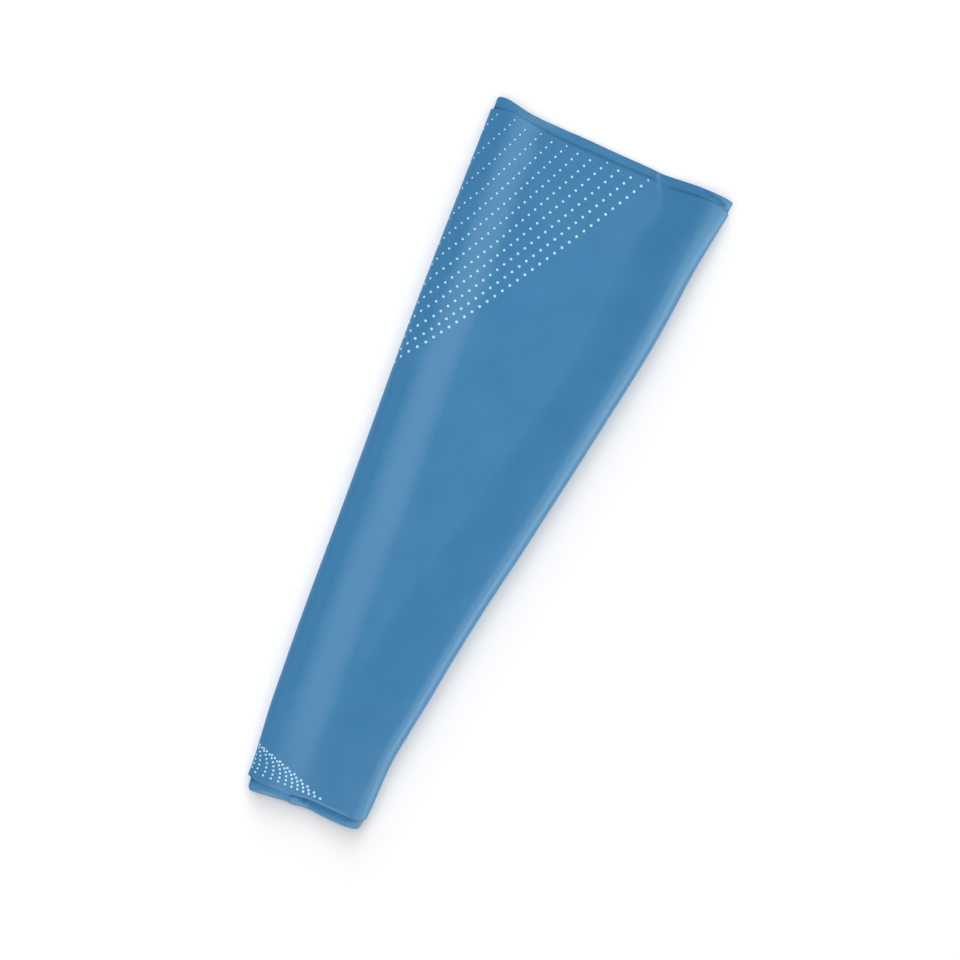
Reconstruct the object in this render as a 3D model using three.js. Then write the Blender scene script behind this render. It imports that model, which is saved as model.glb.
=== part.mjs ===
// Cooling gel sleeve for the lower leg: one tapered tube of gel-lined stretch cloth, laid flat.
// Millimetres. +Y runs along the sleeve from the ankle to the calf, +X to the right, +Z up.
// The sleeve lies on z = 0, and the origin is the middle of the box around it, on that surface.
import * as THREE from "three";
import { LoftGeometry } from "three/addons/geometries/LoftGeometry.js";

// The wall is two layers of stretch cloth with a sheet of gel between them.
const WALL = 2.6;

// The tube is folded along both sides. A roll is the round part of the fold, as far in as its top.
const LEFT_ROLL = 12;
const RIGHT_ROLL = 9.5;

// Between the rolls the upper wall sinks. These are the widths of the slopes down from each roll's top.
const LEFT_SLOPE = 28;
const RIGHT_SLOPE = 24;

// The rim steps out from the upper wall to the longer lower wall so far below the middle of each roll.
const STEP_FROM_DEG = 13;
const STEP_TO_DEG = 25;

// So far below the middle of each roll, the lower wall has all of its tuck.
const TUCK_FULL_DEG = 30;

// The sleeve's outline seen from above, and the heights of its two rolls and of the hollow between them.
const SECTIONS = [
  { along: -210, left: -36.6, right: 33.7, leftTop: 16.4, middleTop: 14.4, rightTop: 15.4 },
  { along: -192, left: -38.3, right: 34.2, leftTop: 16.5, middleTop: 14.4, rightTop: 15.5 },
  { along: -168, left: -41.8, right: 34.0, leftTop: 16.7, middleTop: 14.4, rightTop: 15.6 },
  { along: -140, left: -45.0, right: 36.0, leftTop: 17.0, middleTop: 14.4, rightTop: 15.8 },
  { along: -100, left: -49.0, right: 39.9, leftTop: 17.4, middleTop: 14.4, rightTop: 16.1 },
  { along: -20, left: -55.9, right: 50.2, leftTop: 18.3, middleTop: 14.6, rightTop: 16.8 },
  { along: 60, left: -63.4, right: 60.5, leftTop: 19.3, middleTop: 15.0, rightTop: 17.6 },
  { along: 140, left: -69.7, right: 68.8, leftTop: 20.2, middleTop: 15.5, rightTop: 18.3 },
  { along: 180, left: -72.6, right: 71.4, leftTop: 20.6, middleTop: 15.8, rightTop: 18.6 },
  { along: 210, left: -74.9, right: 74.5, leftTop: 20.9, middleTop: 16.0, rightTop: 18.9 },
];

// How far the lower wall is tucked in under the upper one at each side.
const TUCKS = [
  { along: -210, left: 1.6, right: 0 },
  { along: -192, left: 1.0, right: 0 },
  { along: -140, left: 0, right: 0 },
  { along: 140, left: 0, right: 0 },
  { along: 210, left: 0, right: -0.7 },
];

// The open ends. Each row gives how far along the two walls reach, at a share of the way from left to right.
const ANKLE_RIM = [
  { across: 0.0, upper: -202.4, lower: -208.8 },
  { across: 0.08, upper: -203.5, lower: -209.8 },
  { across: 0.25, upper: -202.3, lower: -207.9 },
  { across: 0.38, upper: -202.8, lower: -207.1 },
  { across: 0.5, upper: -200.8, lower: -206.1 },
  { across: 0.68, upper: -200.0, lower: -206.0 },
  { across: 0.88, upper: -199.3, lower: -205.8 },
  { across: 1.0, upper: -196.2, lower: -203.4 },
];
const CALF_RIM = [
  { across: 0.0, upper: 198.8, lower: 206.6 },
  { across: 0.06, upper: 202.6, lower: 208.0 },
  { across: 0.14, upper: 201.6, lower: 205.6 },
  { across: 0.3, upper: 200.7, lower: 205.7 },
  { across: 0.5, upper: 201.0, lower: 206.6 },
  { across: 0.63, upper: 201.7, lower: 207.6 },
  { across: 0.7, upper: 201.7, lower: 206.6 },
  { across: 0.8, upper: 201.7, lower: 208.9 },
  { across: 0.92, upper: 204.5, lower: 209.8 },
  { across: 1.0, upper: 202.2, lower: 208.8 },
];

// Short waves of the cloth beside a rim: the lift at the rim, which fades over the reach.
const WAVES = [
  { rim: ANKLE_RIM, wall: "lower", across: 0.42, width: 0.12, lift: 2.4, reach: 32 },
  { rim: ANKLE_RIM, wall: "upper", across: 0.36, width: 0.12, lift: -1.2, reach: 26 },
  { rim: CALF_RIM, wall: "lower", across: 0.7, width: 0.06, lift: 2.2, reach: 24 },
  { rim: CALF_RIM, wall: "upper", across: 0.71, width: 0.07, lift: -1.4, reach: 24 },
  { rim: CALF_RIM, wall: "lower", across: 0.16, width: 0.06, lift: 1.6, reach: 20 },
];

// How finely the tube is divided: around each wall and roll, and along the sleeve.
const LOWER_STEPS = 14;
const ROLL_STEPS = 14;
const UPPER_STEPS = 22;
const END_STATIONS = [0, 0.008, 0.02, 0.04, 0.07];
const MIDDLE_STATIONS = 20;

const { smoothstep, lerp, degToRad } = THREE.MathUtils;

// A smooth function through a table: it takes the first column and gives the others by name.
function through(table) {
  const [key, ...columns] = Object.keys(table[0]);
  const places = table.map((row) => row[key]);
  const values = table.flatMap((row) => columns.map((column) => row[column]));
  const curve = new THREE.CubicInterpolant(places, values, columns.length, new Float64Array(columns.length));
  return (place) => {
    const found = curve.evaluate(place);
    return Object.fromEntries(columns.map((column, i) => [column, found[i]]));
  };
}

const sectionAt = through(SECTIONS);
const tuckAt = through(TUCKS);
const rimAt = new Map([ANKLE_RIM, CALF_RIM].map((rim) => [rim, through(rim)]));

// The stops around the tube, in order: the lower wall from right to left, the left roll upwards,
// the upper wall from left to right and the right roll downwards.
function stopsAround() {
  const stops = [];
  const add = (part, steps, at) => {
    for (let i = 0; i < steps; i++) stops.push({ part, at: at(i / steps) });
  };
  add("lower", LOWER_STEPS, (t) => 1 - t);
  add("left", ROLL_STEPS, (t) => lerp(-90, 90, t));
  add("upper", UPPER_STEPS, (t) => t);
  add("right", ROLL_STEPS, (t) => lerp(90, -90, t));
  return stops;
}

// The height of the upper wall, from the left roll's top down into the hollow and up to the right roll's top.
function upperHeight(section, x) {
  const leftTopAt = section.left + LEFT_ROLL;
  const rightTopAt = section.right - RIGHT_ROLL;
  const fromLeft = 1 - smoothstep(x, leftTopAt, leftTopAt + LEFT_SLOPE);
  const fromRight = smoothstep(x, rightTopAt - RIGHT_SLOPE, rightTopAt);
  return (
    section.middleTop +
    (section.leftTop - section.middleTop) * fromLeft +
    (section.rightTop - section.middleTop) * fromRight
  );
}

// How much the waves lift a wall at one place.
function waveLift(wall, across, along) {
  let lift = 0;
  for (const wave of WAVES.filter((one) => one.wall === wall)) {
    const fromRim = Math.abs(rimAt.get(wave.rim)(wave.across)[wall] - along);
    const aside = (across - wave.across) / wave.width;
    lift += wave.lift * Math.exp(-aside * aside) * (1 - smoothstep(fromRim, 0, wave.reach));
  }
  return lift;
}

// The share of the way across a section, from its left side to its right side.
function acrossShare(section, x) {
  return (x - section.left) / (section.right - section.left);
}

// A point of the lower or the upper wall, between the rolls.
function wallPoint(stop, section, along, depth) {
  const x = lerp(section.left + LEFT_ROLL, section.right - RIGHT_ROLL, stop.at);
  const lift = waveLift(stop.part, acrossShare(section, x), along);
  if (stop.part === "upper") return new THREE.Vector3(x, along, upperHeight(section, x) - depth + lift);
  const tuck = tuckAt(along);
  return new THREE.Vector3(x + lerp(tuck.left, -tuck.right, stop.at), along, depth + lift);
}

// A point of the left or the right roll.
function rollPoint(stop, section, along, depth) {
  const angle = degToRad(stop.at);
  const tuck = tuckAt(along);
  const tucked = smoothstep(-stop.at, 0, TUCK_FULL_DEG);
  const middle = (stop.part === "left" ? section.leftTop : section.rightTop) / 2;
  const z = middle + (middle - depth) * Math.sin(angle);
  if (stop.part === "left") {
    const inward = LEFT_ROLL - (LEFT_ROLL - depth) * Math.cos(angle);
    return new THREE.Vector3(section.left + inward + tuck.left * tucked, along, z);
  }
  const inward = RIGHT_ROLL - (RIGHT_ROLL - depth) * Math.cos(angle);
  return new THREE.Vector3(section.right - inward - tuck.right * tucked, along, z);
}

// A point of the tube at one stop, so far along the sleeve and so deep in the wall.
function tubePoint(stop, along, depth) {
  const isWall = stop.part === "lower" || stop.part === "upper";
  return (isWall ? wallPoint : rollPoint)(stop, sectionAt(along), along, depth);
}

// How far along the rim lies at one stop: the upper wall's reach, the lower wall's, or a step between them.
function rimReach(rim, stop) {
  const section = rim === ANKLE_RIM ? SECTIONS[0] : SECTIONS.at(-1);
  const { x } = tubePoint(stop, section.along, 0);
  const { upper, lower } = rimAt.get(rim)(acrossShare(section, x));
  if (stop.part === "upper") return upper;
  if (stop.part === "lower") return lower;
  return lerp(upper, lower, smoothstep(-stop.at, STEP_FROM_DEG, STEP_TO_DEG));
}

// The stations along the sleeve, as shares of its length, closer together near the rims.
function stationsAlong() {
  const start = END_STATIONS.at(-1);
  const middle = Array.from({ length: MIDDLE_STATIONS - 1 }, (_, i) =>
    lerp(start, 1 - start, (i + 1) / MIDDLE_STATIONS),
  );
  return [...END_STATIONS, ...middle, ...END_STATIONS.map((share) => 1 - share).reverse()];
}

// The tube's wall: rings along its outside, back along its inside, and round the two rims.
function tubeGeometry() {
  const stops = stopsAround().map((stop) => ({
    ...stop,
    ankle: rimReach(ANKLE_RIM, stop),
    calf: rimReach(CALF_RIM, stop),
  }));
  const ring = (share, depth) =>
    stops.map((stop) => tubePoint(stop, lerp(stop.ankle, stop.calf, share), depth));
  const stations = stationsAlong();
  const outside = stations.map((share) => ring(share, 0));
  const inside = stations.map((share) => ring(share, WALL)).reverse();
  return new LoftGeometry([...outside, ...inside, outside[0]]);
}

const clothBlue = new THREE.MeshStandardMaterial({ color: 0x4583b2, roughness: 0.6, metalness: 0 });

const sleeve = new THREE.Mesh(tubeGeometry(), clothBlue);
sleeve.name = "sleeve";

const part = new THREE.Group();
part.add(sleeve);

export default part;
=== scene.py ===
"""Looks of the cooling gel sleeve: a tapered tube of gel-lined stretch cloth, with two fields of dots.

Sizes are in millimetres until they become Blender's metres. +Y runs from the ankle to the calf.
"""
import math

import bpy
import numpy as np
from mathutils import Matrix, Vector


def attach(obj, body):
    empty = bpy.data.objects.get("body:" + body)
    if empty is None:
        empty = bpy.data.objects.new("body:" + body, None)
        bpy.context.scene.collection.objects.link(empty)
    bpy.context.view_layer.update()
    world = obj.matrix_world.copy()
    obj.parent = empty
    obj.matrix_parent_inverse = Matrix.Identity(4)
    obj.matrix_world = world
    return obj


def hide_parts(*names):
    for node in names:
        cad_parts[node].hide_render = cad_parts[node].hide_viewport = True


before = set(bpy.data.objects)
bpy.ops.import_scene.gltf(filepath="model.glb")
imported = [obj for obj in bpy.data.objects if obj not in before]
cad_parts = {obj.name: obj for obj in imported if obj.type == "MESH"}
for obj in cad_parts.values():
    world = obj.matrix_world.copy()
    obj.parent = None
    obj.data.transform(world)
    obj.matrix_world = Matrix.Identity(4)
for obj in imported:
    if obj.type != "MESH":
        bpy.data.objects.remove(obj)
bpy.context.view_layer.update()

MM = 0.001


def table(columns, *rows):
    """A short table as one array for each named column. The first column is what the others hang on."""
    return dict(zip(columns.split(), np.array(rows, float).T))


# The wall is two layers of stretch cloth with a sheet of gel between them. The gel ends short of the rims.
WALL = 2.6
RIM_WALL = 0.8
GEL_FROM = 8.0
GEL_FULL = 26.0

# The tube is folded along both sides. A roll is the round part of the fold, as far in as its top.
ROLLS = table(
    "along left right",
    (-210, 12.0, 10.5),
    (-204, 12.0, 9.5),
    (-199, 12.0, 7.7),
    (-85, 12.0, 8.2),
    (0, 12.0, 9.2),
    (85, 12.0, 9.6),
    (170, 12.0, 10.4),
    (202, 12.0, 13.0),
    (205, 8.5, 13.5),
    (210, 8.0, 14.0),
)

# Between the rolls the upper wall sinks. These are the widths of the slopes down from each roll's top.
SLOPES = table(
    "along left right",
    (-210, 25, 38),
    (-85, 25, 36),
    (0, 25, 31),
    (85, 24, 26),
    (140, 23, 29),
    (165, 22, 30),
    (185, 22, 24),
    (202, 22, 29),
    (205, 38, 30),
    (210, 40, 31),
)

# The outline seen from above, and the heights of the two rolls and of the hollow between them.
SECTIONS = table(
    "along left right left_top middle_top right_top",
    (-210, -36.9, 34.2, 17.4, 14.4, 17.4),
    (-192, -38.2, 34.5, 17.5, 14.4, 17.4),
    (-162, -42.6, 34.0, 17.6, 14.4, 17.5),
    (-140, -45.0, 36.0, 17.7, 14.4, 17.9),
    (-120, -47.1, 38.2, 17.8, 14.4, 18.1),
    (-100, -49.0, 40.0, 17.8, 14.4, 18.2),
    (-60, -52.4, 44.6, 18.0, 14.5, 18.2),
    (-20, -55.9, 50.3, 18.2, 14.6, 18.2),
    (60, -63.4, 60.6, 18.8, 15.0, 18.6),
    (110, -67.5, 66.6, 19.3, 15.3, 19.0),
    (140, -69.7, 68.8, 19.6, 15.5, 19.4),
    (160, -71.2, 69.7, 19.8, 15.7, 19.7),
    (180, -72.6, 71.5, 20.0, 15.8, 19.6),
    (210, -74.9, 75.0, 20.3, 16.0, 19.8),
)

# Towards its open ends the tube lies flatter: how far the tops of the rolls and the hollow sink there.
SINKS = table(
    "along left_top middle_top right_top",
    (-210, 7.8, 6.8, 7.8),
    (-190, 4.9, 4.2, 4.7),
    (-165, 2.1, 1.8, 2.0),
    (-140, 0.7, 0.6, 0.6),
    (-100, 0.0, 0.0, 0.0),
    (100, 0.0, 0.0, 0.0),
    (140, 1.1, 1.0, 1.0),
    (165, 3.4, 3.2, 3.0),
    (190, 7.6, 7.4, 6.5),
    (210, 11.9, 11.8, 9.9),
)

# How far the lower wall is tucked in under the upper one at each side.
TUCKS = table(
    "along left right",
    (-210, 2.0, 0.7),
    (-206, 1.8, 0.6),
    (-203, 1.8, 0.6),
    (-192, 1.2, 0.4),
    (-140, 0, 0),
    (140, 0, 0),
    (200, 0.5, 0.3),
    (210, 0.5, -0.1),
)

# So far below the middle of each roll, the lower wall has all of its tuck.
TUCK_FULL_DEG = 30

# The open ends, at a share of the way from left to right: how far along the two walls reach, the step
# from the upper wall's outside down to the lower wall's inside, and how far the upper wall droops to its
# rim and the lower wall's band bends down to its own.
RIMS = {
    "ankle": table(
        "across upper lower step droop bend",
        (0.0, -202.6, -209.1, 0.6, 0.1, 0.8),
        (0.03, -203.2, -209.7, 0.65, 0.2, 0.8),
        (0.08, -203.6, -210.2, 0.7, 0.3, 0.8),
        (0.17, -203.4, -209.3, 0.8, 0.4, 1.1),
        (0.25, -203.0, -208.4, 0.9, 0.5, 1.8),
        (0.36, -202.8, -207.2, 1.1, 0.5, 2.0),
        (0.42, -201.9, -207.3, 1.6, 0.5, 1.6),
        (0.5, -200.7, -206.15, 2.2, 0.65, 0.9),
        (0.57, -200.4, -205.75, 2.3, 0.65, 0.8),
        (0.68, -200.2, -206.1, 2.3, 0.65, 0.8),
        (0.88, -199.6, -205.6, 1.9, 0.6, 0.8),
        (1.0, -196.9, -203.6, 0.9, 0.1, 0.6),
    ),
    "calf": table(
        "across upper lower step droop bend",
        (0.0, 199.0, 206.8, 0.55, 0.0, 0.0),
        (0.05, 202.2, 207.95, 0.6, 0.0, 0.0),
        (0.15, 201.2, 206.0, 0.85, 0.0, 0.0),
        (0.27, 200.3, 206.1, 1.35, 0.15, 0.0),
        (0.37, 200.6, 206.65, 1.45, 0.2, 0.0),
        (0.5, 201.0, 206.85, 1.5, 0.2, 0.0),
        (0.65, 202.0, 207.35, 1.55, 0.2, 0.0),
        (0.67, 202.0, 207.3, 1.5, 0.15, 0.0),
        (0.7, 202.0, 207.3, 0.6, 0.0, 0.0),
        (0.735, 202.0, 207.7, 0.6, 0.0, 0.0),
        (0.77, 202.0, 208.3, 1.2, 0.1, 0.0),
        (0.85, 203.5, 209.5, 1.4, 0.15, 0.0),
        (0.91, 204.5, 209.8, 1.05, 0.05, 0.0),
        (0.95, 204.2, 209.8, 0.65, 0.0, 0.0),
        (1.0, 202.3, 209.2, 0.55, 0.0, 0.0),
    ),
}

# A band has its table's bend at this width past the upper wall's rim, and bends on to so many widths.
BAND_WIDTH = 6.0
BEND_RUNS = 1.5

# The lower wall lies close under the upper one beside a rim and sinks to the floor further in.
# Where it leaves a roll, it does so in a shorter reach.
CLOSE_FOR = 3.0
SINK_REACH = 34.0
ROLL_SINK_REACH = 12.0

# Beyond the upper wall's rim, the lower wall's band comes up again over a distance. It rises so many times
# what the step has over the least one, and at most a share of the step.
LEAST_STEP = 0.8
BAND_RISE = 1.8
BAND_RISE_MOST = 0.45
BAND_RISE_OVER = {"ankle": (1.0, 3.4), "calf": (0.2, 1.8)}

# The upper wall droops over this distance from its rim, and not on the rolls.
DROOP_REACH = 2.2
DROOP_INSET = 6.0

# The rim steps out from the upper wall to the longer lower wall so far below the middle of each roll,
# and the lower wall's corners are rounded.
STEP_FROM_DEG = 19
STEP_TO_DEG = 25
CORNER_RADIUS = {
    "ankle": {"left": 1.7, "right": 1.7},
    "calf": {"left": 1.6, "right": 1.0},
}

# Small folds and dents of the lower wall's bands: the line of each, how wide it is and how far it lifts.
# They start beside the upper wall's rim.
RIDGES = table(
    "x0 y0 x1 y1 width lift",
    (-9.5, -203.4, -1.5, -203.6, 1.6, 1.15),
    (-17.0, -203.7, -10.0, -203.6, 1.3, 0.5),
    (-16.6, -204.6, -10.5, -205.3, 0.7, -0.5),
    (-24.0, -206.2, -8.0, -205.8, 1.8, 0.6),
    (55.0, 208.4, 68.5, 205.8, 0.9, -1.3),
)
RIDGE_FROM = (-0.2, 0.6)

# A longer fold runs down from the calf's rim: the cloth drops across it and comes up again to its right.
FOLD_AT = (30.4, 202.0)
FOLD_LEAN = 0.5
FOLD_WIDTH = 3.2
FOLD_DROP = 0.95
FOLD_RUNS_OUT = 13.0
FOLD_ALONG = (193.0, 203.5)

# Slow swells of the upper wall: their length, the way they run, where they start and how high they are.
SWELLS = table(
    "length heading_deg start lift",
    (61, 78, 0.4, 0.10),
    (43, 24, 2.1, 0.07),
    (34, 118, 4.4, 0.06),
    (25, 62, 1.2, 0.03),
)
SWELL_INSET = 14.0

# How finely the tube is divided: around it, and along it as steps of a size from a distance to the rim.
STEPS_AROUND = {"lower": 104, "upper": 164}
ROLL_STOPS_DEG = ((90, -8, 16), (-8, -32, 20), (-32, -90, 8))
OUTSIDE_STEPS = ((0.0, 0.45), (8.0, 1.2), (30.0, 2.5), (60.0, 4.0))
INSIDE_STEPS = ((0.0, 0.6), (8.0, 2.0), (30.0, 5.0), (60.0, 12.0))
RIM_STEPS = 6

# The way inwards from each side.
SIDE_SIGN = {"left": 1.0, "right": -1.0}


def smoothstep(x, start, end):
    t = np.clip((x - start) / (end - start), 0.0, 1.0)
    return t * t * (3.0 - 2.0 * t)


def mix(a, b, share):
    return a + (b - a) * share


def through(rows, column, at):
    """A smooth curve through one column of a table."""
    places, values = next(iter(rows.values())), rows[column]
    spans = np.diff(places)
    rises = np.diff(values) / spans
    slopes = np.empty_like(values)
    slopes[1:-1] = (values[2:] - values[:-2]) / (places[2:] - places[:-2])
    slopes[0] = 1.5 * rises[0] - 0.5 * slopes[1]
    slopes[-1] = 1.5 * rises[-1] - 0.5 * slopes[-2]
    at = np.clip(at, places[0], places[-1])
    i = np.clip(np.searchsorted(places, at, side="right") - 1, 0, len(spans) - 1)
    t = (at - places[i]) / spans[i]
    bend_in = t * (1 - t) ** 2 * spans[i] * slopes[i]
    bend_out = t * t * (t - 1) * spans[i] * slopes[i + 1]
    return mix(values[i], values[i + 1], smoothstep(t, 0.0, 1.0)) + bend_in + bend_out


# Form of the tube


def height(column, along):
    """The height of a roll's top or of the hollow, lower near the open ends."""
    return through(SECTIONS, column, along) - through(SINKS, column, along)


def roll_top_at(side, along):
    """Where a roll's top lies across the sleeve."""
    return through(SECTIONS, side, along) + SIDE_SIGN[side] * through(ROLLS, side, along)


def across_share(x, along):
    left, right = through(SECTIONS, "left", along), through(SECTIONS, "right", along)
    return (x - left) / (right - left)


def by_end(along, ankle, calf):
    """One value in the ankle's half of the sleeve and another in the calf's."""
    return np.where(along < 0, ankle, calf)


def at_nearer_rim(column, x, along):
    """A column of the nearer rim's table, at a place of the tube."""
    across = across_share(x, along)
    return by_end(along, *(through(RIMS[end], column, across) for end in ("ankle", "calf")))


def swell(x, along):
    """The slow swells of the upper wall, which fade towards the rolls."""
    rise = 0.0
    for length, heading, start, lift in zip(*SWELLS.values()):
        run = x * math.cos(math.radians(heading)) + along * math.sin(math.radians(heading))
        rise = rise + lift * np.sin(2 * math.pi * run / length + start)
    from_left = x - roll_top_at("left", along)
    from_right = roll_top_at("right", along) - x
    return rise * smoothstep(np.minimum(from_left, from_right), 0.0, SWELL_INSET)


def ridge(x, along):
    """The small folds of the bands."""
    rise = 0.0
    for x0, y0, x1, y1, width, lift in zip(*RIDGES.values()):
        run = math.hypot(x1 - x0, y1 - y0)
        ahead = ((x - x0) * (x1 - x0) + (along - y0) * (y1 - y0)) / run
        aside = ((x - x0) * (y1 - y0) - (along - y0) * (x1 - x0)) / run
        beyond = np.maximum(np.maximum(-ahead, ahead - run), 0.0)
        rise = rise + lift * np.exp(-(aside**2 + beyond**2) / width**2)
    return rise


def fold(x, along):
    """The drop across the calf's longer fold."""
    past = x - FOLD_AT[0] + FOLD_LEAN * (along - FOLD_AT[1])
    across = smoothstep(past, -FOLD_WIDTH / 2, FOLD_WIDTH / 2)
    across = across * np.exp(-np.clip(past, 0, None) / FOLD_RUNS_OUT)
    return FOLD_DROP * across * smoothstep(along, *FOLD_ALONG)


def top_height(x, along):
    """The height of the upper outside: the hollow, the slopes up from it and the shoulders of the rolls."""
    middle = height("middle_top", along)
    z = middle + swell(x, along) - fold(x, along)
    for side, sign in SIDE_SIGN.items():
        top = height(side + "_top", along)
        from_top = sign * (x - roll_top_at(side, along))
        over = np.clip(-from_top / through(ROLLS, side, along), 0.0, 1.0)
        z = z + (top - middle) * (1 - smoothstep(from_top, 0.0, through(SLOPES, side, along)))
        z = z - top / 2 * (1 - np.sqrt(1 - over**2))
    return z


def closed_share(x, along, reach):
    """How far the lower wall has come up to the upper one: wholly beside a rim, not at all further in."""
    return 1 - smoothstep(np.abs(along - at_nearer_rim("lower", x, along)), CLOSE_FOR, reach)


def past_upper_rim(x, along):
    """How far a place lies beyond the upper wall's rim, less than nothing further in."""
    return np.abs(along) - np.abs(at_nearer_rim("upper", x, along))


def closed_height(x, along, depth):
    """The height of the lower wall where it has come up under the upper one."""
    past = past_upper_rim(x, along)
    step = at_nearer_rim("step", x, along)
    rise = np.minimum(BAND_RISE * np.maximum(step - LEAST_STEP, 0.0), BAND_RISE_MOST * step)
    rise = rise * by_end(along, *(smoothstep(past, *BAND_RISE_OVER[end]) for end in ("ankle", "calf")))
    bend = at_nearer_rim("bend", x, along) * np.clip(past / BAND_WIDTH, 0.0, BEND_RUNS) ** 2
    folds = ridge(x, along) * smoothstep(past, *RIDGE_FROM)
    return top_height(x, along) - step + rise - bend + folds - RIM_WALL + depth


def droop(x, along):
    """How far the upper wall has bent down near its rim, between the rolls."""
    nearness = np.clip(1 + past_upper_rim(x, along) / DROOP_REACH, 0.0, 1.0)
    from_roll = np.minimum(x - roll_top_at("left", along), roll_top_at("right", along) - x)
    return at_nearer_rim("droop", x, along) * nearness**2 * smoothstep(from_roll, 0.0, DROOP_INSET)


def upper_point(x, along, depth):
    return np.stack([x, along, top_height(x, along) - droop(x, along) - depth], axis=-1)


def lower_point(at, x, along, depth):
    tuck = mix(through(TUCKS, "left", along), -through(TUCKS, "right", along), at)
    z = mix(depth, closed_height(x, along, depth), closed_share(x, along, SINK_REACH))
    return np.stack([x + tuck, along, z], axis=-1)


def roll_point(side, angle_deg, along, depth):
    """A point of a side roll: half an ellipse from the lower wall up to the roll's top.

    Beside a rim the lower half opens out, and lies under the upper wall as the rest of the lower wall does.
    """
    angle = np.radians(angle_deg)
    edge, roll, sign = through(SECTIONS, side, along), through(ROLLS, side, along), SIDE_SIGN[side]
    middle = height(side + "_top", along) / 2
    tuck = through(TUCKS, side, along) * smoothstep(-angle_deg, 0.0, TUCK_FULL_DEG)
    x = edge + sign * (roll - (roll - depth) * np.cos(angle) + tuck)
    z = middle + (middle - depth) * np.sin(angle)
    open_x = edge + sign * (roll * (1 - np.cos(angle)) + tuck)
    reach = mix(ROLL_SINK_REACH, SINK_REACH, smoothstep(-angle_deg, STEP_TO_DEG, 90))
    opened = closed_share(open_x, along, reach) * smoothstep(-angle_deg, STEP_FROM_DEG, STEP_TO_DEG)
    x = mix(x, open_x, opened)
    z = mix(z, closed_height(open_x, along, depth), opened)
    return np.stack([x, along, z], axis=-1)


def part_points(part, at, along, depth):
    """Points of one part of the tube. On a wall, at is a share from left to right, on a roll an angle."""
    if part in SIDE_SIGN:
        return roll_point(part, at, along, depth)
    x = mix(roll_top_at("left", along), roll_top_at("right", along), at)
    return upper_point(x, along, depth) if part == "upper" else lower_point(at, x, along, depth)


def stops_around():
    """The stops around the tube, in order.

    The lower wall from right to left, the left roll upwards, the upper wall from left to right, and the
    right roll downwards.
    """
    down = np.concatenate([np.linspace(*span, endpoint=False) for span in ROLL_STOPS_DEG])
    up = np.append(down[1:], -90.0)[::-1]
    return {
        "lower": np.linspace(1, 0, STEPS_AROUND["lower"], endpoint=False),
        "left": up,
        "upper": np.linspace(0, 1, STEPS_AROUND["upper"], endpoint=False),
        "right": down,
    }


def corner_cut(end, side, angle_deg):
    """How much a rounded corner takes off the lower wall's reach at a roll's angle."""
    radius = CORNER_RADIUS[end][side]
    edge = math.cos(math.radians(STEP_TO_DEG))
    inside = ROLLS[side][0 if end == "ankle" else -1] * (edge - np.cos(np.radians(angle_deg)))
    left_to_go = np.clip(radius - inside, 0.0, radius)
    return np.where(angle_deg > -STEP_TO_DEG, radius, radius - np.sqrt(radius**2 - left_to_go**2))


def rim_reach(end, part, at):
    """How far along the rim lies: the upper wall's reach, the lower wall's, or on a roll a step between."""
    rim = RIMS[end]
    along = np.full_like(at, SECTIONS["along"][0 if end == "ankle" else -1])
    across = across_share(part_points(part, at, along, 0.0)[..., 0], along)
    upper, lower = through(rim, "upper", across), through(rim, "lower", across)
    if part == "upper":
        return upper
    if part == "lower":
        return lower
    inwards = 1.0 if end == "ankle" else -1.0
    lower = lower + inwards * corner_cut(end, part, at)
    return mix(upper, lower, smoothstep(-at, STEP_FROM_DEG, STEP_TO_DEG))


def stations(steps, length):
    """Distances from one rim, in steps that grow towards the middle and shrink again."""
    half = [0.0]
    while half[-1] < length / 2:
        half.append(half[-1] + max(size for start, size in steps if half[-1] >= start))
    half = np.array(half) * (length / 2) / half[-1]
    return np.concatenate([half, length - half[-2::-1]])


def tube_rings():
    """Rings of points: along the outside, round the calf's rim, back inside, and round the ankle's rim."""
    stops = stops_around()
    ankle = np.concatenate([rim_reach("ankle", part, at) for part, at in stops.items()])
    calf = np.concatenate([rim_reach("calf", part, at) for part, at in stops.items()])
    radius = RIM_WALL / 2
    start, end = ankle + radius, calf - radius
    length = float(np.mean(end - start))
    cuts = np.cumsum([len(at) for at in stops.values()])[:-1]
    rings = []

    def add(along, depth):
        pieces = zip(stops.items(), np.split(along, cuts), np.split(depth, cuts))
        rings.append(np.concatenate([part_points(part, at, a, d) for (part, at), a, d in pieces]))

    for distance in stations(OUTSIDE_STEPS, length):
        add(mix(start, end, distance / length), np.zeros_like(start))
    turns = np.linspace(0, math.pi, RIM_STEPS + 1)
    for turn in turns[1:-1]:
        add(end + radius * math.sin(turn), np.full_like(end, radius - radius * math.cos(turn)))
    for distance in stations(INSIDE_STEPS, length)[::-1]:
        along = mix(start, end, distance / length)
        from_rim = np.minimum(along - start, end - along)
        add(along, mix(RIM_WALL, WALL, smoothstep(from_rim, GEL_FROM, GEL_FULL)))
    for turn in turns[-2:0:-1]:
        add(start - radius * math.sin(turn), np.full_like(start, radius - radius * math.cos(turn)))
    return np.array(rings)


def new_object(name, points, faces):
    mesh = bpy.data.meshes.new(name)
    mesh.from_pydata(points.reshape(-1, 3) * MM, [], faces)
    mesh.polygons.foreach_set("use_smooth", np.ones(len(mesh.polygons), bool))
    mesh.update()
    thing = bpy.data.objects.new(name, mesh)
    bpy.context.scene.collection.objects.link(thing)
    return thing


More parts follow.
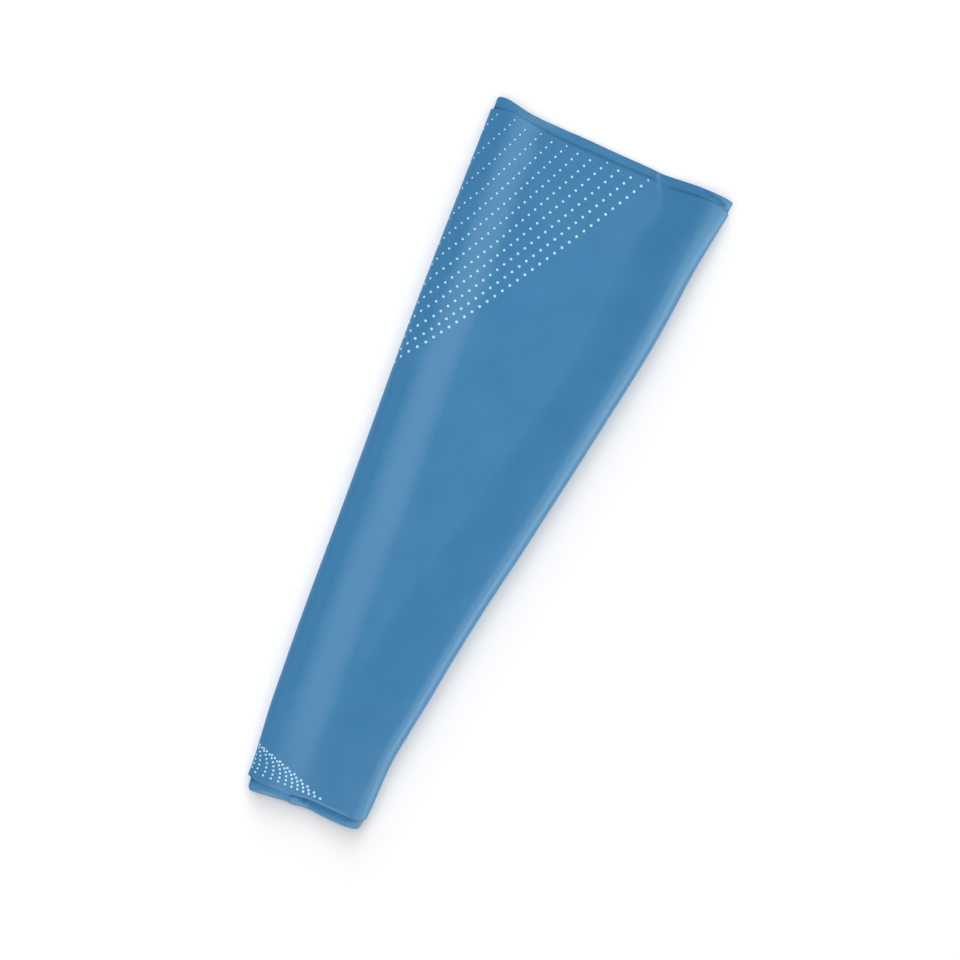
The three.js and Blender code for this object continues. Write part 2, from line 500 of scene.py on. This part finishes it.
def grid_faces(rows, columns):
    """Quads of a grid that closes on itself both ways."""
    row, column = np.meshgrid(np.arange(rows), np.arange(columns), indexing="ij")
    next_row, next_column = (row + 1) % rows, (column + 1) % columns
    corners = [(row, column), (row, next_column), (next_row, next_column), (next_row, column)]
    return np.stack([r * columns + c for r, c in corners], axis=-1).reshape(-1, 4)


def lay_cloth_map(thing, rings):
    """A map of the cloth in metres, around and along the tube, for the knit to follow."""
    rows, columns = rings.shape[:2]
    closed = np.concatenate([rings, rings[:, :1]], axis=1)
    widths = np.linalg.norm(np.diff(closed, axis=1), axis=2).mean(axis=0)
    around = np.concatenate([[0.0], np.cumsum(widths)])
    row, column = np.meshgrid(np.arange(rows), np.arange(columns), indexing="ij")
    corners = [(row, column), (row, column + 1), (row + 1, column + 1), (row + 1, column)]
    along = np.concatenate([rings[..., 1], rings[:1, :, 1]])
    along = np.concatenate([along, along[:, :1]], axis=1)
    uv = np.stack([np.stack([around[c], along[r, c]], axis=-1) for r, c in corners], axis=2)
    layer = thing.data.uv_layers.new(name="cloth")
    layer.uv.foreach_set("vector", (uv * MM).astype(np.float32).ravel())


def make_sleeve():
    rings = tube_rings()
    sleeve = new_object("gel_sleeve", rings, grid_faces(*rings.shape[:2]).tolist())
    lay_cloth_map(sleeve, rings)
    return sleeve


# The print: dots on the upper wall's outside, placed on the cloth unrolled over the left roll

# The first dot of each of the calf's rows. The rows fan out from there to the left fold.
CALF_ROWS = table(
    "across along",
    (-68.0, 197.1),
    (-59.1, 198.5),
    (-51.4, 196.1),
    (-42.3, 197.9),
    (-34.8, 196.3),
    (-26.1, 198.0),
    (-18.6, 196.7),
    (-10.6, 196.4),
    (-1.2, 199.4),
    (6.4, 197.9),
    (14.5, 197.4),
    (24.2, 200.3),
)

# In the first row and the last: the lean at the rim, its turn at each step, the step and the dots' size.
CALF_LEAN_DEG = (19.0, 25.3)
CALF_TURN_DEG = (0.286, 0.223)
CALF_STEP = (3.77, 5.22)
CALF_DIAMETER = (1.07, 1.75)

# Past the left roll's top the rows are stretched by a share, and they end so far past it.
CALF_STRETCH = 0.23
FOLD_WRAP = 15.5

# Dots close to the rim are smaller.
CALF_SMALLEST = 0.65
CALF_SHRINK = (1.0, 4.0)

# The ankle's columns of dots, counted from the left fold. Each has as many dots as there are columns from
# it on, up to the most. They stand a pitch apart, and wider towards the fold, as far as the farthest.
# Dots too far round the fold are left off.
ANKLE_COLUMNS = 12
ANKLE_MOST = 9
ANKLE_FARTHEST = -38.2
ANKLE_LAST = 5.8
ANKLE_PITCH = (3.5, 0.14)
ANKLE_WIDENS_BELOW = 7
ANKLE_WRAP = -12.6

# How far along a column starts and the size of its dots, in the first column and the last. The lean and the
# step change with each column, and the lean with each dot too.
ANKLE_ALONG = (-200.0, -197.2)
ANKLE_ALONG_EASE = 0.6
ANKLE_LEAN_DEG = (12.0, -4.6, -10.5)
ANKLE_STEP = (2.55, -0.045)
ANKLE_DIAMETER = (1.25, 1.72)

# A dot is a low dome. Its rings are shares of its radius and height, and the lowest is under the cloth.
DOT_SIDES = 14
DOT_RINGS = ((0.5, 0.86), (0.82, 0.56), (1.0, -0.3))
DOT_HEIGHT = 0.16

# How finely the left roll is measured, and the step that finds which way the cloth faces.
ARC_STEPS = 80
NORMAL_STEP = 0.2


def roll_angle(arc, along):
    """The angle on the left roll so far down along the cloth from the roll's top."""
    angles = np.linspace(90, -90, ARC_STEPS)
    points = roll_point("left", angles[None, :], np.repeat(along[:, None], ARC_STEPS, axis=1), 0.0)
    runs = np.cumsum(np.linalg.norm(np.diff(points, axis=1), axis=2), axis=1)
    runs = np.concatenate([np.zeros((len(arc), 1)), runs], axis=1)
    return np.array([np.interp(one, run, angles) for one, run in zip(arc, runs)])


def on_cloth(unrolled, along):
    """Points of the outside, from places on the cloth unrolled over the left roll."""
    top_at = roll_top_at("left", along)
    arc = np.clip(top_at - unrolled, 0.0, None)
    on_roll = roll_point("left", roll_angle(arc, along), along, 0.0)
    on_wall = upper_point(np.maximum(unrolled, top_at), along, 0.0)
    return np.where((unrolled < top_at)[:, None], on_roll, on_wall)


def raised(unrolled, along, lift):
    """Points so far above the cloth."""
    across = on_cloth(unrolled + NORMAL_STEP, along) - on_cloth(unrolled - NORMAL_STEP, along)
    onwards = on_cloth(unrolled, along + NORMAL_STEP) - on_cloth(unrolled, along - NORMAL_STEP)
    normal = np.cross(across, onwards)
    normal /= np.linalg.norm(normal, axis=1, keepdims=True)
    return on_cloth(unrolled, along) + normal * lift[:, None]


def calf_dots():
    """Rows that run down from the rim to the left fold, each leaning over a little more at each step."""
    dots = []
    starts = list(zip(CALF_ROWS["across"], CALF_ROWS["along"]))
    for row, (x, y) in enumerate(starts):
        share = row / (len(starts) - 1)
        lean, turn = mix(*CALF_LEAN_DEG, share**2), mix(*CALF_TURN_DEG, share)
        step, size = mix(*CALF_STEP, share), mix(*CALF_DIAMETER, share)
        while roll_top_at("left", y) - x < FOLD_WRAP:
            to_rim = through(RIMS["calf"], "upper", across_share(x, y)) - y
            stretched = x - CALF_STRETCH * max(roll_top_at("left", y) - x, 0.0)
            dots.append((stretched, y, size * mix(CALF_SMALLEST, 1.0, smoothstep(to_rim, *CALF_SHRINK))))
            x -= step * math.sin(math.radians(lean))
            y -= step * math.cos(math.radians(lean))
            lean += turn
    return np.array(dots, float)


def ankle_dots():
    """Columns that rise from the rim and bow over to the left, fewer dots in each towards the right."""
    dots = []
    for column in range(ANKLE_COLUMNS):
        widening = max(0, ANKLE_WIDENS_BELOW - column)
        x = ANKLE_LAST - ANKLE_PITCH[0] * (ANKLE_COLUMNS - 1 - column) - ANKLE_PITCH[1] * widening**2
        x = max(x, ANKLE_FARTHEST)
        share = column / (ANKLE_COLUMNS - 1)
        y = mix(*ANKLE_ALONG, share**ANKLE_ALONG_EASE)
        size = mix(*ANKLE_DIAMETER, share)
        step = ANKLE_STEP[0] + ANKLE_STEP[1] * column
        for count in range(min(ANKLE_MOST, ANKLE_COLUMNS - column)):
            if x > ANKLE_WRAP + roll_top_at("left", y):
                dots.append((x, y, size))
            lean = ANKLE_LEAN_DEG[0] + ANKLE_LEAN_DEG[1] * column + ANKLE_LEAN_DEG[2] * count
            x += step * math.sin(math.radians(lean))
            y += step * math.cos(math.radians(lean))
    return np.array(dots, float)


def make_print(name, dots):
    """Low round domes that follow the cloth, as one mesh."""
    turns = np.linspace(0, 2 * math.pi, DOT_SIDES, endpoint=False)
    shape = [(0.0, 0.0, 1.0)]
    shape += [(r * math.cos(t), r * math.sin(t), lift) for r, lift in DOT_RINGS for t in turns]
    shape += [(0.0, 0.0, DOT_RINGS[-1][1])]
    shape = np.array(shape)
    x = dots[:, None, 0] + shape[None, :, 0] * dots[:, None, 2] / 2
    y = dots[:, None, 1] + shape[None, :, 1] * dots[:, None, 2] / 2
    lift = np.broadcast_to(shape[None, :, 2] * DOT_HEIGHT, x.shape)
    points = raised(x.ravel(), y.ravel(), lift.ravel())
    one = []
    last = len(shape) - 1
    for i in range(DOT_SIDES):
        j = (i + 1) % DOT_SIDES
        one.append((0, 1 + i, 1 + j))
        for ring in range(len(DOT_RINGS) - 1):
            a, b = 1 + ring * DOT_SIDES, 1 + (ring + 1) * DOT_SIDES
            one.append((a + i, b + i, b + j, a + j))
        a = 1 + (len(DOT_RINGS) - 1) * DOT_SIDES
        one.append((a + i, last, a + j))
    faces = [tuple(v + k * len(shape) for v in face) for k in range(len(dots)) for face in one]
    return new_object(name, points, faces)


# Materials

# The knit's columns of loops run along the sleeve. Widths and heights in metres.
COLUMN_WIDTH = 0.0008
LOOP_LENGTH = 0.0006
LOOP_LEAN = 0.8
LOOP_LOW = 0.3
KNIT_DEPTH = 0.00005
KNIT_STRENGTH = 0.3

# Mottling of the cloth and streaks along the sleeve: how many in a metre each way, and the share of each.
MOTTLING_SCALE = (60.0, 45.0, 1.0)
MOTTLING_DETAIL = 3.0
MOTTLING_SHARE = 0.65
STREAK_SCALE = (900.0, 22.0, 1.0)
STREAK_DETAIL = 2.0
STREAK_SHARE = 0.35
CLOTH_DARK = (0.007, 0.174, 0.405)
CLOTH_LIGHT = (0.010, 0.186, 0.427)
CLOTH_ROUGHNESS = (0.47, 0.53)

# The grain, the patches and the colours of the dots' ink.
GRAIN_SCALE = (3000.0, 3000.0, 3000.0)
GRAIN_DETAIL = 2.0
GRAIN_DEPTH = 0.00003
GRAIN_STRENGTH = 0.2
PATCH_SCALE = (400.0, 400.0, 400.0)
PATCH_DETAIL = 1.0
INK_DARK = (0.48, 0.76, 0.98)
INK_LIGHT = (0.54, 0.82, 0.99)
INK_ROUGHNESS = (0.55, 0.7)

# Most of what a noise gives lies between these.
NOISE_SPAN = (0.3, 0.7)


class Nodes:
    """A material's node tree, with short calls for the nodes used here."""

    def __init__(self, name):
        self.material = bpy.data.materials.new(name)
        self.material.use_nodes = True
        self.tree = self.material.node_tree
        self.shader = self.tree.nodes["Principled BSDF"]

    def add(self, kind, **settings):
        node = self.tree.nodes.new(kind)
        for name, value in settings.items():
            setattr(node, name, value)
        return node

    def put(self, value, socket):
        """Links an output to a socket, or sets the socket to a value."""
        if isinstance(value, bpy.types.NodeSocket):
            self.tree.links.new(value, socket)
        else:
            socket.default_value = value

    def math(self, operation, *values):
        node = self.add("ShaderNodeMath", operation=operation)
        for value, socket in zip(values, node.inputs):
            self.put(value, socket)
        return node.outputs["Value"]

    def noise(self, place, scale, detail):
        """Noise at a place, with its own scale each way."""
        stretch = self.add("ShaderNodeVectorMath", operation="MULTIPLY")
        self.put(place, stretch.inputs[0])
        self.put(scale, stretch.inputs[1])
        node = self.add("ShaderNodeTexNoise")
        self.put(stretch.outputs["Vector"], node.inputs["Vector"])
        self.put(1.0, node.inputs["Scale"])
        self.put(detail, node.inputs["Detail"])
        return node.outputs["Fac"]

    def spread(self, value, from_range, to_range):
        node = self.add("ShaderNodeMapRange")
        for name, limit in zip(("From Min", "From Max", "To Min", "To Max"), (*from_range, *to_range)):
            self.put(limit, node.inputs[name])
        self.put(value, node.inputs["Value"])
        return node.outputs["Result"]

    def blend(self, share, first, second):
        """A colour between two."""
        node = self.add("ShaderNodeMix", data_type="RGBA")
        self.put(share, node.inputs["Factor"])
        self.put((*first, 1.0), node.inputs["A"])
        self.put((*second, 1.0), node.inputs["B"])
        return node.outputs["Result"]

    def bump(self, value, strength, distance):
        node = self.add("ShaderNodeBump")
        self.put(strength, node.inputs["Strength"])
        self.put(distance, node.inputs["Distance"])
        self.put(value, node.inputs["Height"])
        return node.outputs["Normal"]

    def finish(self, **inputs):
        for name, value in inputs.items():
            self.put(value, self.shader.inputs[name.replace("_", " ")])
        return self.material


def knit_cloth():
    """Fine stretch knit: columns of leaning loops, soft mottling and faint streaks along the sleeve."""
    nodes = Nodes("gel_cloth")
    place = nodes.add("ShaderNodeUVMap", uv_map="cloth").outputs["UV"]
    split = nodes.add("ShaderNodeSeparateXYZ")
    nodes.put(place, split.inputs["Vector"])
    aside = nodes.math("PINGPONG", split.outputs["X"], COLUMN_WIDTH / 2)
    column = nodes.math("SINE", nodes.math("MULTIPLY", aside, math.pi / COLUMN_WIDTH))
    run = nodes.math("MULTIPLY_ADD", aside, LOOP_LEAN, split.outputs["Y"])
    loop = nodes.math("SINE", nodes.math("MULTIPLY", run, 2 * math.pi / LOOP_LENGTH))
    knit = nodes.math("MULTIPLY", column, nodes.spread(loop, (-1.0, 1.0), (LOOP_LOW, 1.0)))

    mottling = nodes.noise(place, MOTTLING_SCALE, MOTTLING_DETAIL)
    streaks = nodes.noise(place, STREAK_SCALE, STREAK_DETAIL)
    mottled = nodes.math("MULTIPLY", mottling, MOTTLING_SHARE)
    streaked = nodes.math("MULTIPLY", streaks, STREAK_SHARE)
    share = nodes.spread(nodes.math("ADD", mottled, streaked), NOISE_SPAN, (0.0, 1.0))
    return nodes.finish(
        Base_Color=nodes.blend(share, CLOTH_DARK, CLOTH_LIGHT),
        Roughness=nodes.spread(mottling, NOISE_SPAN, CLOTH_ROUGHNESS),
        Normal=nodes.bump(knit, KNIT_STRENGTH, KNIT_DEPTH),
    )


def dot_print():
    """Matt pale ink with a fine grain."""
    nodes = Nodes("dot_print")
    place = nodes.add("ShaderNodeTexCoord").outputs["Object"]
    grain = nodes.noise(place, GRAIN_SCALE, GRAIN_DETAIL)
    patches = nodes.noise(place, PATCH_SCALE, PATCH_DETAIL)
    share = nodes.spread(patches, NOISE_SPAN, (0.0, 1.0))
    return nodes.finish(
        Base_Color=nodes.blend(share, INK_DARK, INK_LIGHT),
        Roughness=nodes.spread(grain, NOISE_SPAN, INK_ROUGHNESS),
        Normal=nodes.bump(grain, GRAIN_STRENGTH, GRAIN_DEPTH),
    )


def floor_paper():
    """Plain matt white."""
    nodes = Nodes("floor_white")
    return nodes.finish(
        Base_Color=(FLOOR_WHITE, FLOOR_WHITE, FLOOR_WHITE, 1.0),
        Roughness=1.0,
        Specular_IOR_Level=0.0,
    )


# Stage, light and camera

# The camera looks straight down on this place, turned as in the photo, and takes in the frame's width at a
# height over the floor.
CAMERA_OVER = (10.55, 5.27)
CAMERA_HEIGHT = 2500.0
CAMERA_TURN_DEG = 25.3
FRAME_WIDTH = 545.6
FRAME_AT_HEIGHT = 9.0
SENSOR = 36.0

# The floor's width and white, and the sky's strength.
FLOOR_SIZE = 24000.0
FLOOR_WHITE = 0.86
SKY = 0.1

# How far the lights stand from the origin, in metres. The gloss panels are a warm white.
SUN_DISTANCE = 3.0
PANEL_DISTANCE = 1.6
GLOSS_TINT = (1.0, 0.99, 0.78)


def make_camera():
    data = bpy.data.cameras.new("camera")
    data.sensor_width = SENSOR
    data.lens = SENSOR * (CAMERA_HEIGHT - FRAME_AT_HEIGHT) / FRAME_WIDTH
    camera = bpy.data.objects.new("camera", data)
    camera.location = (CAMERA_OVER[0] * MM, CAMERA_OVER[1] * MM, CAMERA_HEIGHT * MM)
    camera.rotation_euler = (0, 0, math.radians(CAMERA_TURN_DEG))
    bpy.context.scene.collection.objects.link(camera)
    bpy.context.scene.camera = camera


def make_floor():
    half = FLOOR_SIZE / 2
    corners = np.array([(-half, -half, 0), (half, -half, 0), (half, half, 0), (-half, half, 0)])
    floor = new_object("floor", corners, [(0, 1, 2, 3)])
    floor.data.materials.append(floor_paper())
    return floor


def make_world():
    world = bpy.data.worlds.new("studio")
    world.use_nodes = True
    background = world.node_tree.nodes["Background"]
    background.inputs["Color"].default_value = (1, 1, 1, 1)
    background.inputs["Strength"].default_value = SKY
    bpy.context.scene.world = world


def new_light(name, kind, heading_deg, off_zenith_deg, distance):
    """A light that looks at the origin from so far off the zenith, towards a heading from +X to +Y."""
    heading, off = math.radians(heading_deg), math.radians(off_zenith_deg)
    level = math.sin(off)
    towards = Vector((math.cos(heading) * level, math.sin(heading) * level, math.cos(off)))
    light = bpy.data.objects.new(name, bpy.data.lights.new(name, kind))
    light.location = towards * distance
    light.rotation_euler = towards.to_track_quat("Z", "Y").to_euler()
    bpy.context.scene.collection.objects.link(light)
    return light


def group_of(name, things):
    group = bpy.data.collections.new(name)
    for thing in things:
        group.objects.link(thing)
    return group


def add_sun(name, falls_on, heading_deg, off_zenith_deg, energy, angle_deg):
    """A soft distant light that falls on these things alone."""
    light = new_light(name, "SUN", heading_deg, off_zenith_deg, SUN_DISTANCE)
    light.data.energy = energy
    light.data.angle = math.radians(angle_deg)
    light.light_linking.receiver_collection = group_of(name + "_falls_on", falls_on)
    return light


def add_gloss_panel(name, heading_deg, off_zenith_deg, size, energy):
    """A wide panel that shows only as gloss."""
    light = new_light(name, "AREA", heading_deg, off_zenith_deg, PANEL_DISTANCE)
    light.data.shape = "RECTANGLE"
    light.data.size, light.data.size_y = size
    light.data.energy = energy
    light.data.color = GLOSS_TINT
    light.visible_diffuse = False
    light.visible_camera = False


def make_lights(floor, pieces):
    add_sun("shadow_light", [floor], heading_deg=114, off_zenith_deg=65, energy=2.0, angle_deg=44)
    fill = add_sun("floor_fill", [floor], heading_deg=0, off_zenith_deg=0, energy=2.55, angle_deg=90)
    fill.light_linking.blocker_collection = group_of("floor_fill_stopped_by", [floor])
    dome = add_sun("dome", pieces, heading_deg=0, off_zenith_deg=0, energy=2.62, angle_deg=170)
    dome.visible_glossy = False
    add_gloss_panel("high_panel", heading_deg=0, off_zenith_deg=30, size=(3.0, 1.16), energy=29)
    add_gloss_panel("low_panel", heading_deg=0, off_zenith_deg=80, size=(3.0, 0.56), energy=36)
    add_gloss_panel("left_panel", heading_deg=180, off_zenith_deg=51, size=(3.0, 1.5), energy=11)
    add_gloss_panel("ankle_panel", heading_deg=-90, off_zenith_deg=75, size=(2.0, 0.8), energy=26)
    add_gloss_panel("calf_panel", heading_deg=42, off_zenith_deg=56, size=(1.2, 0.9), energy=7)


make_camera()
floor = make_floor()
make_world()

sleeve = make_sleeve()
calf_print = make_print("calf_print", calf_dots())
ankle_print = make_print("ankle_print", ankle_dots())
make_lights(floor, [sleeve, calf_print, ankle_print])
bpy.context.scene.view_settings.view_transform = "Standard"

sleeve.data.materials.append(knit_cloth())
ink = dot_print()
calf_print.data.materials.append(ink)
ankle_print.data.materials.append(ink)

for piece in (sleeve, calf_print, ankle_print):
    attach(piece, "root")
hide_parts("sleeve")
